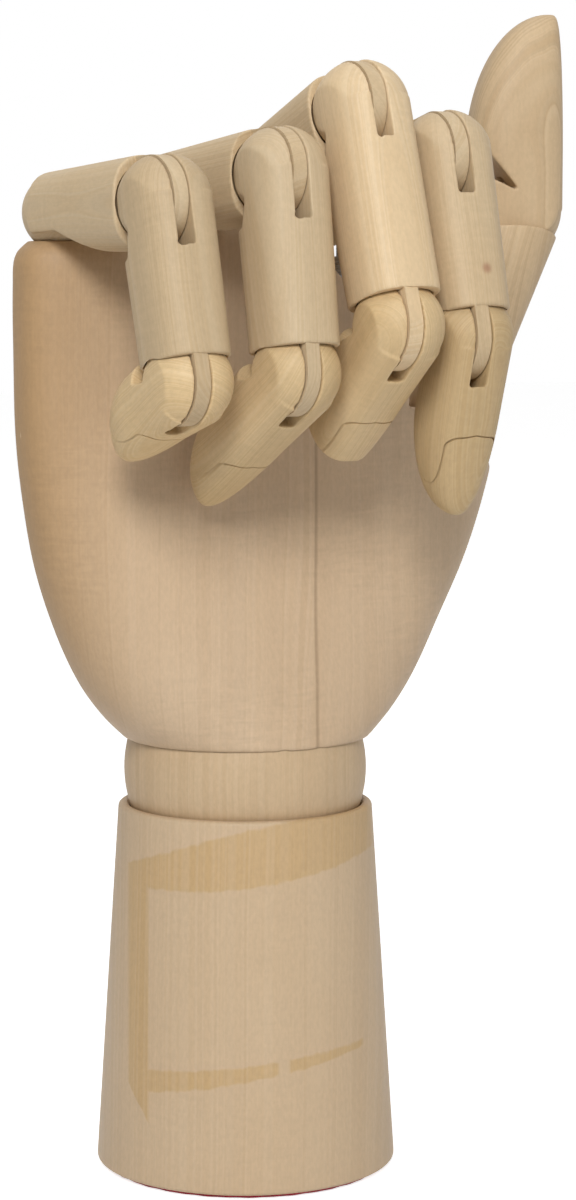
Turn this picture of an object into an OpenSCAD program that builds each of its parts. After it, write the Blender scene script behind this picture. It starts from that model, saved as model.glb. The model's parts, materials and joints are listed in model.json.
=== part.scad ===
// Jointed wooden hand on a turned base, a right hand with its fingers curled into a loose fist.
// Millimetres, +Z up, the palm faces -Y, the thumb is on +X.
// The origin is the centre of the felt pad's lower face.

/* [Base] */
// Diameter of the base at its foot
base_foot_d = 60; // [52:1:70]
// Diameter of the base at its top
base_top_d = 50.8; // [50.6:0.1:56]
// Height of the wooden base
base_h = 72.4; // [66:0.2:80]
// Diameter of the felt pad
felt_d = 57; // [48:1:66]
// Thickness of the felt pad
felt_t = 0.8; // [0.6:0.1:1.5]

/* [Wrist] */
// Radius of the wrist ball
ball_r = 24.2; // [23.6:0.1:24.6]
// Height of the ball's centre above the top of the base
ball_rise = 7; // [6:0.1:8]
// Gap between a ball and its seat
seat_gap = 0.3; // [0.2:0.05:0.5]
// Bore through the ball for the wrist spring
ball_bore_d = 11; // [10:0.5:14]

/* [Palm] */
// Height of the palm's lower rim above the ball's centre
palm_rise = 6.2; // [5.5:0.1:7]
// Height of the palm, from its lower rim to the knuckle seats
palm_h = 98.6; // [98:0.2:100]
// Half width of the palm on the little finger's side
palm_left = 48.6; // [48:0.2:50]
// Half width of the palm on the thumb's side
palm_right = 57.6; // [57:0.2:59]
// Thickness of the palm at the knuckles
palm_top_t = 22; // [21:0.5:24]
// Thickness of the palm at its lower rim
palm_foot_t = 48.4; // [47.6:0.2:49.2]

/* [Fingers] */
// Distance from one knuckle to the next
knuckle_pitch = 20.15; // [20:0.05:20.6]
// X of the little finger's knuckle
little_x = -39.2; // [-39.6:0.1:-39]
// Radius of the rounding along the edges of a phalanx
edge_r = 6.2; // [4:0.1:6.4]
// Thickness of the tongue in a finger joint
tongue_t = 2.9; // [2.4:0.1:3]
// Width of the slot that the tongue turns in
slot_t = 3.4; // [3.3:0.1:4]
// Diameter of the finger joint pins
pin_d = 2; // [1.5:0.1:2.4]

/* [Thumb] */
// Lean of the thumb's lower piece away from the fingers, in degrees
thumb_lean = 21; // [20:1:22]
// Length of the thumb's lower piece between its two joints
thumb_base_len = 42.7; // [42.1:0.2:43.5]
// Length of the thumb's upper piece from its joint to its tip
thumb_tip_len = 39.8; // [36:0.2:42]
// Thickness of the thumb's upper piece, from pad to nail
thumb_d = 19.6; // [19:0.1:20]
// Width of the thumb's upper piece
thumb_w = 16.4; // [16:0.1:17]

/* [Hidden] */
$fn = 64;
eps = 0.01;
over = 0.5;

FINGERS = ["little", "ring", "middle", "index"];
// Each finger's width and depth at its second joint
FINGER_W = [15.6, 15.4, 16.2, 15.2];
FINGER_D = [17.4, 17.4, 18.0, 17.8];
// Height of each knuckle above the lowest one
KNUCKLE_RISE = [0, 2.9, 3.8, 1.0];
// Distances from knuckle to second joint, second to third joint, third joint to tip
LEN_PROXIMAL = [38.0, 41.9, 43.0, 42.1];
LEN_MIDDLE = [33.2, 36.8, 41.9, 34.5];
LEN_TIP = [25.8, 38.2, 29.6, 33.6];
// Length that the end phalanx would have if its tip weren't cut off
WHOLE_TIP = [25.8, 38.2, 37.0, 33.6];
// How slim the end phalanx is past its joint, as a share of its width there
SLIM = [0.9, 0.92, 0.93, 0.97];
// The pose: lean towards the thumb, turn about the vertical, then the bend of each joint
LEAN = [0, 1.9, 0, 0];
TURN = [4.4, 6.1, 2.8, -0.5];
BEND_KNUCKLE = [88.2, 84.9, 69.8, 77.6];
BEND_SECOND = [78.1, 84.6, 92.5, 87.7];
BEND_THIRD = [81.1, 66.4, 64.7, 31.2];
// How far the cut-back on the pad's side lets the two finger joints bend
RELIEF_SECOND = 97;
RELIEF_THIRD = 90;
// Depth of the slots beyond the pins of the second and third joints, how far they are off the
// finger's middle, and the saw's radius
SECOND_SLOT = [12.3, 12.3, 11.1, 11.6];
THIRD_SLOT = [8.4, 8.0, 8.4, 9.4];
slot_x = -1.5;
saw_r = 15.2;
// How much slimmer a finger is at its third joint than at its second
taper = 1;

base_top_z = felt_t + base_h;
ball_z = base_top_z + ball_rise;
palm_z = ball_z + palm_rise;
palm_top_z = palm_z + palm_h;
base_edge_r = 0.8;
seat_r = ball_r + seat_gap;
// The spring's bore through the base, and the wider hole under it that holds the cross bar
base_bore_d = 13;
base_hole_d = 22;
base_hole_h = 26;
bar_d = 4;
bar_half = 9.5;
bar_z = felt_t + base_hole_h - bar_d / 2;
wrist_spring_d = 9.2;
wrist_wire_d = 1.6;
wrist_pin_z = palm_z + 26;
wrist_pin_d = 3.2;
wrist_pin_front = 11;
wrist_pin_back = 15;

knuckle_z = palm_top_z + 4.7;
knuckle_trim = 0.1;
knuckle_gap = 0.3;
// Flat that a finger has next to the knuckle, facing the palm: its distance from the finger's
// middle, where it ends, and where the slant after it ends
knuckle_flat = 3.9;
knuckle_flat_end = 9.6;
knuckle_slant_end = 24;
scoop_gap = 0.3;
// How far a tongue's round end lies below the wood on both sides of it
tongue_inset = 0.4;
tongue_neck_inset = 2;
// Distance from a joint's pin back to the flat end of the phalanx before it
end_gap_second = 5;
END_GAP_THIRD = [3.6, 4.3, 5, 3.9];
knuckle_slot_t = 3.6;
pin_fit = 0.05;
pin_skin = 1.2;

spring_bore_d = 6.4;
spring_d = 5;
spring_wire_d = 0.9;
spring_drop = 9.5;
anchor_z = palm_top_z - 36;
anchor_d = 2.4;

// Height above the palm's lower rim from which its top edge starts to rise, and half the width
// over which it is level under each finger
crest_start = 61;
crest_level = 7.2;

thumb_root = [46.5, -1, palm_top_z - 33.6];
thumb_root_r = 8.8;
// Radius of the thumb's lower piece next to its root and at its upper end
thumb_neck_r = 7.8;
thumb_flare_r = 10.7;
thumb_seat_tilt = 45;
thumb_seat_drop = 3.2;
thumb_joint_r = 10.2;
thumb_turn = -108;
// The flat rim of the lower piece: its distance below the joint and its slants in degrees
thumb_rim_drop = 6.1;
thumb_rim_back = 15;
thumb_rim_side = 7;
// The V cut on the pad's side of the upper piece, as depth and height: its point, then its mouth
THUMB_NOTCH = [[-0.2, 3.5], [-14, 10.2], [-14, 20.6]];
// Distances from the thumb's joint to the nail's side, from there to the tip's highest point,
// and from the joint up to where the pad starts to curve
thumb_nail = 10.2;
thumb_nail_to_top = 2.8;
thumb_pad_start = 12;
thumb_slot_depth = 7;
thumb_anchor_drop = 30;

wood = [0.84, 0.71, 0.54];
wood_light = [0.88, 0.76, 0.60];
steel = [0.72, 0.73, 0.75];

// Shapes

// Rectangle with round corners, centred
module round_rect(w, d, r) {
  square([w - 2 * r, d], center = true);
  square([w, d - 2 * r], center = true);
  for (sx = [-1, 1], sy = [-1, 1])
    translate([sx * (w / 2 - r), sy * (d / 2 - r)]) circle(r);
}

// Turns a side view, drawn with x as depth (nail side positive) and y as length, into a slab
module side_slab(w) {
  rotate([90, 0, 90]) linear_extrude(height = w, center = true) children();
}

// A straight cross hole or pin along X
module cross_rod(d, from_x, to_x) {
  translate([from_x, 0, 0]) rotate([0, 90, 0]) cylinder(d = d, h = to_x - from_x);
}

// What is cut from the pad's side next to a round end, so that the joint can bend
module relief(h, bend, gap) {
  lip = gap - 0.4;
  reach = h + 0.4;
  corner = [-(lip * sin(bend) + reach * cos(bend)), -lip * cos(bend) + reach * sin(bend)];
  far = 4 * h;
  polygon([
    [0, 0], corner, corner + far * [-sin(bend), -cos(bend)],
    [-far, -far], [0, -far]
  ]);
}

// Closely wound coil of round wire from one height to the other, drawn as a grooved tube
module coil(r, wire, from_z, to_z) {
  turns = floor((to_z - from_z) / wire);
  pitch = (to_z - from_z) / turns;
  groove_r = r - 0.27 * wire;
  inner_r = r - 1.3 * wire;
  outer = [for (i = [0:turns - 1], k = [0, 1])
    [k == 0 ? groove_r : r, from_z + (i + k / 2) * pitch]];
  rotate_extrude()
    polygon(concat([[inner_r, from_z]], outer, [[groove_r, to_z], [inner_r, to_z]]));
}

// Ring round a rod along X at height rod_z, with a straight wire to the end of a coil
module hook(r, wire, rod_z, rod_r, end_z) {
  side = rod_z > end_z ? -1 : 1;
  ring_r = rod_r + pin_fit + wire / 2;
  ring_edge = rod_z + side * ring_r;
  cap_t = 0.5 * wire;
  translate([0, 0, rod_z]) rotate([0, 90, 0])
    rotate_extrude() translate([ring_r, 0]) circle(d = wire, $fn = 24);
  translate([0, 0, min(ring_edge, end_z) - 0.1])
    cylinder(d = wire, h = abs(ring_edge - end_z) + 0.2, $fn = 24);
  translate([0, 0, side < 0 ? end_z - eps : end_z - cap_t + eps])
    cylinder(r = r - 0.6 * wire, h = cap_t);
}

// Tension spring hooked round a joint pin along X at the origin and round an anchor rod along X
// at the height rod_z
module tension_spring(rod_z) {
  r = spring_d / 2;
  wire = spring_wire_d;
  top_z = -spring_drop;
  bottom_z = rod_z + anchor_d / 2 + pin_fit + 1.2 * wire;
  coil(r, wire, bottom_z, top_z);
  hook(r, wire, 0, pin_d / 2, top_z);
  hook(r, wire, rod_z, anchor_d / 2, bottom_z);
}

// Places along a finger

module at_knuckle(i) {
  translate([little_x + i * knuckle_pitch, 0, knuckle_z + KNUCKLE_RISE[i]]) children();
}

module at_proximal(i) {
  at_knuckle(i) rotate([0, LEAN[i], 0]) rotate([0, 0, TURN[i]])
    rotate([BEND_KNUCKLE[i], 0, 0]) children();
}

module at_second(i) {
  at_proximal(i) translate([0, 0, LEN_PROXIMAL[i]]) children();
}

module at_middle(i) {
  at_second(i) rotate([BEND_SECOND[i], 0, 0]) children();
}

module at_third(i) {
  at_middle(i) translate([0, 0, LEN_MIDDLE[i]]) children();
}

module at_tip(i) {
  at_third(i) rotate([BEND_THIRD[i], 0, 0]) children();
}

// Parts of a phalanx

// Stock with rounded long edges that tapers from one end size to the other
module stock(w0, d0, w1, d1, z0, z1) {
  hull() {
    translate([0, 0, z0]) linear_extrude(height = eps) round_rect(w0, d0, edge_r, $fn = 32);
    translate([0, 0, z1 - eps]) linear_extrude(height = eps) round_rect(w1, d1, edge_r, $fn = 32);
  }
}

// Tongue with a round end at the origin, reaching back down to the wood it grows from. Its neck
// is narrower on the pad's side, where the bent joint passes
module tongue(h) {
  r = h - tongue_inset;
  translate([slot_x, 0, 0]) side_slab(tongue_t) {
    circle(r);
    translate([tongue_neck_inset - r, -h - 3]) square([2 * r - tongue_neck_inset, h + 3]);
  }
}

// Far end of a phalanx: cut flat short of the next joint at length l, with a round cup for it
module end_cut(w, h, l, gap) {
  translate([-w, -2 * h, l - gap]) cube([2 * w, 4 * h, gap + 3]);
  translate([0, 0, l]) sphere(h + scoop_gap);
}

// Slot across a round end, cut with a round saw
module saw_slot(x, depth) {
  translate([x - slot_t / 2, 0, depth - saw_r]) rotate([0, 90, 0])
    cylinder(r = saw_r, h = slot_t);
}

// Hole for a joint pin, open on the thumb's side and blind on the other
module pin_hole(w) {
  cross_rod(pin_d + 2 * pin_fit, -w / 2 + pin_skin, w);
}

module tongue_hole() {
  cross_rod(pin_d + 2 * pin_fit, -2 * tongue_t, 2 * tongue_t);
}

module joint_pin(w) {
  color(steel) cross_rod(pin_d, -w / 2 + pin_skin, w / 2 - 0.9);
}

// Jointed end: a ball, and beyond it the length l of the phalanx less its cut-back on the pad
module ball_end(w, h, l, bend, gap) {
  sphere(h);
  side_slab(2 * w) difference() {
    translate([-2 * h, 0]) square([4 * h, l]);
    relief(h, bend, gap);
  }
}

module proximal(i) {
  w = FINGER_W[i];
  h = FINGER_D[i] / 2;
  l = LEN_PROXIMAL[i];
  knuckle_r = w / 2 - knuckle_trim;
  difference() {
    union() {
      difference() {
        intersection() {
          stock(2 * knuckle_r, 2 * knuckle_r, w, 2 * h, 0, l);
          // Cut back on the pad's side, where the bent finger passes the palm's edge
          side_slab(2 * w) polygon([
            [-h - 1, l + 1], [-h - 1, knuckle_slant_end], [-knuckle_flat, knuckle_flat_end],
            [-knuckle_flat, 0], [knuckle_r, 0], [h + 1, l + 1]
          ]);
        }
        end_cut(w, h, l, end_gap_second);
      }
      sphere(knuckle_r);
      translate([0, 0, l]) tongue(h);
    }
    // Slot for the spring's hook, open at the end and on the pad's side
    side_slab(knuckle_slot_t) polygon([
      [2.6, -knuckle_r - 1], [2.6, 2.6], [-knuckle_r - 2, 2.6], [-knuckle_r - 2, -knuckle_r - 1]
    ]);
    pin_hole(w);
    translate([0, 0, l]) tongue_hole();
  }
}

module middle(i) {
  w = FINGER_W[i];
  h = FINGER_D[i] / 2;
  l = LEN_MIDDLE[i];
  difference() {
    union() {
      difference() {
        intersection() {
          stock(w, 2 * h, w - taper, 2 * h - taper, -h, l);
          ball_end(w, h, l + 1, RELIEF_SECOND, end_gap_second);
        }
        end_cut(w, h - taper / 2, l, END_GAP_THIRD[i]);
      }
      translate([0, 0, l]) tongue(h - taper / 2);
    }
    saw_slot(slot_x, SECOND_SLOT[i]);
    pin_hole(w);
    translate([0, 0, l]) tongue_hole();
  }
}

// Stock whose end is rounded like a fingertip: slimmer past the joint, nearly straight on the
// nail's side, curving up on the pad's side from height start, and coming together apex
// towards the nail
module tip_stock(w, pad, nail, start, l, apex, slim, z0) {
  hull() {
    for (z = [z0, 0]) translate([0, (nail - pad) / 2, z]) linear_extrude(height = eps)
      round_rect(w, nail + pad, edge_r, $fn = 24);
    for (t = [0, 22, 42, 60, 74, 86]) {
      width = slim * w * pow(cos(t), 0.85);
      from = apex - (slim * pad + apex) * cos(t);
      to = apex + (slim * nail - apex) * pow(cos(t), 0.35);
      translate([0, (from + to) / 2, start + (l - start) * sin(t) - eps])
        linear_extrude(height = eps)
        round_rect(width, to - from, min(edge_r, 0.49 * min(width, to - from)), $fn = 24);
    }
  }
}

module tip(i) {
  w = FINGER_W[i] - taper;
  h = (FINGER_D[i] - taper) / 2;
  whole = WHOLE_TIP[i];
  difference() {
    intersection() {
      tip_stock(w, h, h, 0.42 * whole, whole, 3, SLIM[i], -h);
      ball_end(w, h, LEN_TIP[i], RELIEF_THIRD, END_GAP_THIRD[i]);
    }
    saw_slot(slot_x, THIRD_SLOT[i]);
    pin_hole(w);
  }
}

module finger_spring(i) {
  at_knuckle(i) tension_spring(anchor_z - knuckle_z - KNUCKLE_RISE[i]);
}

// Base and wrist

module base() {
  top_r = base_top_d / 2;
  foot_r = base_foot_d / 2;
  e = base_edge_r;
  color(wood) difference() {
    translate([0, 0, felt_t]) rotate_extrude() polygon(concat(
      [[0, 0], [foot_r - e, 0]],
      [for (t = [30, 60, 90]) [foot_r - e + e * sin(t), e - e * cos(t)]],
      [for (t = [0:22.5:90]) [top_r - e + e * cos(t), base_h - e + e * sin(t)]],
      [[0, base_h]]
    ));
    translate([0, 0, ball_z]) sphere(seat_r, $fn = 96);
    translate([0, 0, -over]) cylinder(d = base_bore_d, h = ball_z);
    translate([0, 0, -over]) cylinder(d = base_hole_d, h = felt_t + base_hole_h + over);
  }
}

module felt_pad() {
  color([0.62, 0.10, 0.12]) cylinder(d = felt_d, h = felt_t);
}

module wrist_ball() {
  color(wood_light) translate([0, 0, ball_z]) difference() {
    sphere(ball_r, $fn = 96);
    translate([0, 0, -ball_r - 1]) cylinder(d = ball_bore_d, h = 2 * ball_r + 2);
  }
}

module wrist_spring() {
  wire = wrist_wire_d;
  r = wrist_spring_d / 2;
  z0 = bar_z + bar_d / 2 + wire + 2;
  z1 = wrist_pin_z - wrist_pin_d / 2 - wire - 2;
  color(steel) {
    coil(r, wire, z0, z1);
    hook(r, wire, bar_z, bar_d / 2, z0);
    rotate([0, 0, 90]) hook(r, wire, wrist_pin_z, wrist_pin_d / 2, z1);
  }
}

module base_anchor_bar() {
  color(steel) translate([0, 0, bar_z]) cross_rod(bar_d, -bar_half, bar_half);
}

module palm_wrist_pin() {
  color(steel) translate([0, 0, wrist_pin_z]) rotate([0, 0, 90])
    cross_rod(wrist_pin_d, -wrist_pin_front, wrist_pin_back);
}

// Palm

// Levels of the palm: height above its lower rim, half width on the little finger's side and
// on the thumb's side, thickness, and the power that squares the oval
PALM_LEVELS = [
  [0, 24, 24.7, palm_foot_t, 2.0],
  [5, 29.4, 30.8, 45.4, 2.1],
  [12, 34.8, 36.6, 42.2, 2.2],
  [22, 39.9, 42.6, 37.6, 2.3],
  [35, palm_left - 4.2, palm_right - 8, 32.4, 2.5],
  [49, palm_left - 1.6, palm_right - 2.8, 28.4, 2.7],
  [crest_start, palm_left - 0.3, palm_right, 26, 2.8],
  [76, palm_left, palm_right, 24.4, 2.9],
  [palm_h - 9, palm_left, palm_right, palm_top_t + 1, 3.0],
  [palm_h - 3, palm_left - 0.6, palm_right, palm_top_t - 0.6, 3.0],
  [palm_h, palm_left - 4, palm_right - 2, palm_top_t - 4.4, 3.0]
];
palm_steps = 48;

// The palm's top edge rises and falls between the knuckles
function crest(x) =
  lookup(x, [for (i = [0:3], side = [-1, 1])
    [little_x + i * knuckle_pitch + side * crest_level, KNUCKLE_RISE[i]]]);

function palm_point(level, k) =
  let (
    a = 360 * k / palm_steps, c = cos(a), s = sin(a),
    half_x = c < 0 ? level[1] : level[2], p = 2 / level[4],
    x = sign(c) * half_x * pow(abs(c), p),
    share = max(0, level[0] - crest_start) / (palm_h - crest_start)
  )
  [x, sign(s) * level[3] / 2 * pow(abs(s), p), palm_z + level[0] + share * crest(x)];

module palm_block() {
  n = palm_steps;
  last = len(PALM_LEVELS) - 1;
  points = [for (level = PALM_LEVELS, k = [0:n - 1]) palm_point(level, k)];
  sides = [for (j = [0:last - 1], k = [0:n - 1], half = [0, 1])
    let (a = j * n + k, b = j * n + (k + 1) % n)
    half == 0 ? [a, b + n, b] : [a, a + n, b + n]];
  top = last * n;
  polyhedron(
    points = points,
    faces = concat(
      sides,
      [[for (k = [0:n - 1]) k]],
      // The top edge isn't level, so its face is made of strips from back to front
      [[top + n - 1, top + 1, top]],
      [for (k = [1:n / 2 - 2]) [top + n - k, top + n - k - 1, top + k + 1, top + k]],
      [[top + n / 2 + 1, top + n / 2, top + n / 2 - 1]]
    )
  );
}

module palm() {
  web_x = little_x + 3 * knuckle_pitch + FINGER_W[3] / 2 + 2.2;
  color(wood) difference() {
    palm_block();
    // Seat on the wrist ball and the bore for the wrist spring
    translate([0, 0, ball_z]) sphere(seat_r, $fn = 96);
    translate([0, 0, palm_z - 1]) cylinder(d = ball_bore_d, h = wrist_pin_z - palm_z + 5);
    translate([0, 0, wrist_pin_z]) rotate([0, 0, 90])
      cross_rod(wrist_pin_d, -wrist_pin_front, palm_right);
    // Slanted shoulder and seat for the thumb
    translate(thumb_root) rotate([0, thumb_seat_tilt, 0])
      translate([-60, -40, -thumb_seat_drop]) cube([120, 80, 60]);
    translate([web_x, -40, thumb_root[2]]) cube([60, 80, 60]);
    translate(thumb_root) sphere(thumb_root_r + knuckle_gap);
    translate(thumb_root) rotate([0, thumb_seat_tilt, 0]) {
      translate([0, 0, -thumb_anchor_drop - 4]) cylinder(d = spring_bore_d, h = 30);
      translate([0, 0, -thumb_anchor_drop]) rotate([90, 0, 0])
        translate([0, 0, -20]) cylinder(d = anchor_d, h = 28);
    }
    // Knuckle seats and the bores for their springs
    for (i = [0:3]) at_knuckle(i) {
      sphere(FINGER_W[i] / 2 - knuckle_trim + knuckle_gap);
      translate([0, 0, anchor_z - knuckle_z - KNUCKLE_RISE[i] - 3])
        cylinder(d = spring_bore_d, h = knuckle_z + KNUCKLE_RISE[i] - anchor_z);
    }
    // Hole for the long rod, widened for the plug
    translate([0, 0, anchor_z]) {
      cross_rod(anchor_d, -palm_left - 2, little_x + 3 * knuckle_pitch + 8);
      cross_rod(6, -palm_left - 2, -palm_left + 6);
    }
  }
}

module finger_anchor_rod() {
  color(steel) translate([0, 0, anchor_z])
    cross_rod(anchor_d, -palm_left + 6, little_x + 3 * knuckle_pitch + 8);
}

module anchor_plug() {
  color(wood_light) intersection() {
    translate([0, 0, anchor_z]) cross_rod(6, -palm_left - 2, -palm_left + 6);
    palm_block();
  }
}

// Thumb

module at_thumb_root() {
  translate(thumb_root) children();
}

module at_thumb_base() {
  at_thumb_root() rotate([0, thumb_lean, 0]) children();
}

module at_thumb_joint() {
  at_thumb_base() translate([0, 0, thumb_base_len]) children();
}

module at_thumb_tip() {
  at_thumb_joint() rotate([0, -thumb_lean, 0]) rotate([0, 0, thumb_turn]) children();
}

module thumb_tongue() {
  side_slab(tongue_t) {
    circle(6);
    translate([-5, -thumb_joint_r - 3]) square([10, thumb_joint_r + 3]);
  }
}

module thumb_base() {
  color(wood) difference() {
    union() {
      difference() {
        at_thumb_base() {
          sphere(thumb_root_r);
          cylinder(r1 = thumb_neck_r, r2 = thumb_flare_r, h = thumb_base_len);
        }
        // Upper end, cut flat and hollowed round the joint
        at_thumb_joint() rotate([-thumb_rim_back, thumb_rim_side - thumb_lean, 0])
          translate([-30, -30, -thumb_rim_drop]) cube([60, 60, 40]);
        at_thumb_joint() sphere(thumb_joint_r + knuckle_gap);
      }
      at_thumb_tip() thumb_tongue();
    }
    at_thumb_tip() tongue_hole();
    // Slot and pin hole at the root
    at_thumb_base() rotate([0, 0, -90]) {
      side_slab(knuckle_slot_t) translate([-6, -thumb_root_r - 1]) square([12, thumb_root_r + 3.6]);
      cross_rod(pin_d + 2 * pin_fit, -thumb_root_r - 1, thumb_root_r - 1);
    }
  }
}

// Pin of the thumb's upper joint and the hole for it, whose open end is on the hidden side
module mirrored_pin() {
  mirror([1, 0, 0]) children();
}

module thumb_tip() {
  color(wood_light) at_thumb_tip() difference() {
    intersection() {
      tip_stock(
        thumb_w, thumb_d - thumb_nail, thumb_nail, thumb_pad_start, thumb_tip_len,
        thumb_nail - thumb_nail_to_top, 1, -thumb_joint_r
      );
      union() {
        sphere(thumb_joint_r);
        translate([-thumb_w, -thumb_d, 0]) cube([2 * thumb_w, 2 * thumb_d, thumb_tip_len]);
      }
    }
    side_slab(3 * thumb_w) polygon(THUMB_NOTCH);
    saw_slot(0, thumb_slot_depth);
    mirrored_pin() pin_hole(thumb_w);
  }
}

module thumb_spring() {
  color(steel) at_thumb_root() rotate([0, thumb_seat_tilt, 0]) rotate([0, 0, 90])
    tension_spring(-thumb_anchor_drop);
}

module thumb_anchor_pin() {
  color(steel) at_thumb_root() rotate([0, thumb_seat_tilt, 0])
    translate([0, 0, -thumb_anchor_drop]) rotate([90, 0, 0])
    translate([0, 0, -8]) cylinder(d = anchor_d, h = 16);
}

// The whole hand

base();
felt_pad();
wrist_ball();
wrist_spring();
base_anchor_bar();
palm();
palm_wrist_pin();
finger_anchor_rod();
anchor_plug();
for (i = [0:3]) {
  name = FINGERS[i];
  color(wood) at_proximal(i) proximal(i);
  color(wood_light) at_middle(i) middle(i);
  color(wood) at_tip(i) tip(i);
  at_proximal(i) joint_pin(FINGER_W[i]);
  at_second(i) joint_pin(FINGER_W[i]);
  at_third(i) joint_pin(FINGER_W[i] - taper);
  color(steel) finger_spring(i);
}
thumb_base();
thumb_tip();
at_thumb_base() rotate([0, 0, -90]) joint_pin(thumb_w);  // thumb_root_pin
at_thumb_tip() mirrored_pin() joint_pin(thumb_w);  // thumb_joint_pin
thumb_spring();
thumb_anchor_pin();
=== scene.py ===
"""Jointed wooden hand on a turned base: its sanded wood, its joints and its steel.

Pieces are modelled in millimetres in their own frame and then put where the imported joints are:
X along the hinge, Z along the finger, Y towards the nail. Blender's unit is the metre.
"""

import json
import math
import bpy
from mathutils import Matrix, Vector


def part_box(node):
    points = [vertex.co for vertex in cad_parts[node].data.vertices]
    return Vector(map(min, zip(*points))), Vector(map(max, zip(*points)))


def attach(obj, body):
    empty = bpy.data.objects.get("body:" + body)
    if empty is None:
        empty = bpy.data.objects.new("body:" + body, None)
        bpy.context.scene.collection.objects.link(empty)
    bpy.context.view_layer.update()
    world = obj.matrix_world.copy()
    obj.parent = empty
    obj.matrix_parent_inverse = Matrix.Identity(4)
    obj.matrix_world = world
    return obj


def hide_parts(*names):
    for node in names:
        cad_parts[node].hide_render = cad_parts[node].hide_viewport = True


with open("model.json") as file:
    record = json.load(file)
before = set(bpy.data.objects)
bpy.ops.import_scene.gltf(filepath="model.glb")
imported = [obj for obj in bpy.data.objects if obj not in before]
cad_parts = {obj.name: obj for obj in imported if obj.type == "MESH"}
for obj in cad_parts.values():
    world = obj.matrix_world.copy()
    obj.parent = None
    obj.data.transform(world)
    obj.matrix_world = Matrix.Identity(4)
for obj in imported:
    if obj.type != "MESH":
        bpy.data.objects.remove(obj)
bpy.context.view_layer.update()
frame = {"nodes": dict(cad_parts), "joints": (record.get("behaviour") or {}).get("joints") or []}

MM = 0.001
IN_PLACE = Matrix.Identity(4)
JOINTS = {joint["name"]: joint for joint in frame["joints"]}

# Points round a turned or carved blank, and the grit that rounds its edges
ROUND = 96
FINE_GRIT = 0.3
PALM_GRIT = 0.62
OVER = 0.5
# Edges sharper than this are seen as edges
SHARP = math.radians(50)

# Base, felt and wrist ball
BASE_FOOT_R = 30.0
BASE_TOP_R = 25.4
BASE_EDGE_R = 0.8
FELT_R = 28.5
FELT_T = 0.8
BALL_R = 24.2
SEAT_GAP = 0.3
BALL_BORE_R = 5.5
BALL_BEVEL = 0.6
BALL_BEVEL_H = 0.4
BASE_LIP = 0.35
BASE_BORE_R = 6.5
BASE_HOLE_R = 11.0
BASE_HOLE_H = 26.8

# Palm: half widths, thicknesses, how it is built up, how far the lowest knuckle stands above
# it, its crest, its bores, and how far a cutting block reaches beyond its sides
PALM_LEFT = 48.6
PALM_RIGHT = 57.6
PALM_TOP_T = 22.0
PALM_FOOT_T = 48.4
PALM_STEPS = 70
PALM_BLANK_GRIT = 0.8
KNUCKLE_RISE = 4.7
CREST_START = 61.0
CREST_LEVEL = 7.2
WRIST_PIN_RISE = 26.0
WRIST_PIN_R = 1.6
WRIST_PIN_FRONT = 11.0
SPRING_BORE_R = 3.2
ANCHOR_DROP = 36.0
BORE_PAST_ROD = 3.0
BORE_PAST_PIN = 4.0
CUT_REACH = 60.0
CUT_DEPTH = 40.0

# Fingers, from the little finger to the index finger
FINGERS = ("little", "ring", "middle", "index")
WIDTH = (15.6, 15.4, 16.2, 15.2)
DEPTH = (17.4, 17.4, 18.0, 17.8)
THIRD_BEND = (81.1, 66.4, 64.7, 31.2)
END_LENGTH = (25.8, 38.2, 29.6, 33.6)
WHOLE_END = (25.8, 38.2, 37.0, 33.6)
SLIM = (0.9, 0.92, 0.93, 0.97)
END_GAP_THIRD = (3.6, 4.3, 5.0, 3.9)
SECOND_SLOT = (12.3, 12.3, 11.1, 11.6)
THIRD_SLOT = (8.4, 8.0, 8.4, 9.4)
SLOT_X = -1.5
SAW_R = 15.2
KNUCKLE_FLAT = 3.9
KNUCKLE_FLAT_END = 9.6
KNUCKLE_SLANT_END = 24.0
END_GAP_SECOND = 5.0
RELIEF_SECOND = 97.0
RELIEF_THIRD = 90.0
TAPER = 1.0
KNUCKLE_TRIM = 0.1
CUP_GAP = 0.3
KNUCKLE_GAP = 0.3
TONGUE_T = 2.9
TONGUE_INSET = 0.4
TONGUE_NECK = 2.0
SLOT_T = 3.4
KNUCKLE_SLOT_T = 3.6
KNUCKLE_SLOT_TOP = 2.6
PIN_HOLE_R = 1.05
PIN_SKIN = 1.2
SQUARENESS = 2.75
TIP_START = 0.42
TIP_APEX = 3.0
# Nail line: its depth and width, how far beyond the third joint it starts, half its width, how
# much of that it loses in each millimetre towards the tip, its corners' radius, its bow on
# top, and how far down the finger's sides it goes
NAIL_CUT = 0.4
NAIL_LINE = 0.28
NAIL_TOP = (9.8, 21.0, 18.2, 17.2)
NAIL_HALF = 5.3
NAIL_TAPER = 0.03
NAIL_CORNER = 2.4
NAIL_BOW = 0.5
NAIL_FLOOR = 0.3

# Thumb
THUMB_ROOT_R = 8.8
THUMB_NECK_R = 7.8
THUMB_FLARE_R = 10.7
THUMB_JOINT_R = 10.2
THUMB_SEAT_TILT = 45.0
THUMB_SEAT_DROP = 3.2
THUMB_SHOULDER_H = 56.0
THUMB_WEB = 2.2
THUMB_RIM_DROP = 6.1
THUMB_RIM_BACK = 15.0
THUMB_RIM_SIDE = 7.0
THUMB_W = 16.4
THUMB_D = 19.6
THUMB_NAIL = 10.2
THUMB_NAIL_TO_TOP = 2.8
THUMB_END = 39.8
THUMB_PAD_START = 12.0
THUMB_SLOT_DEPTH = 7.0
THUMB_TONGUE_R = 6.0
THUMB_TONGUE_NECK = 5.0
THUMB_ANCHOR_DROP = 30.0
THUMB_NOTCH = ((-0.2, 3.5), (-14.0, 10.2), (-14.0, 20.6))

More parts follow.
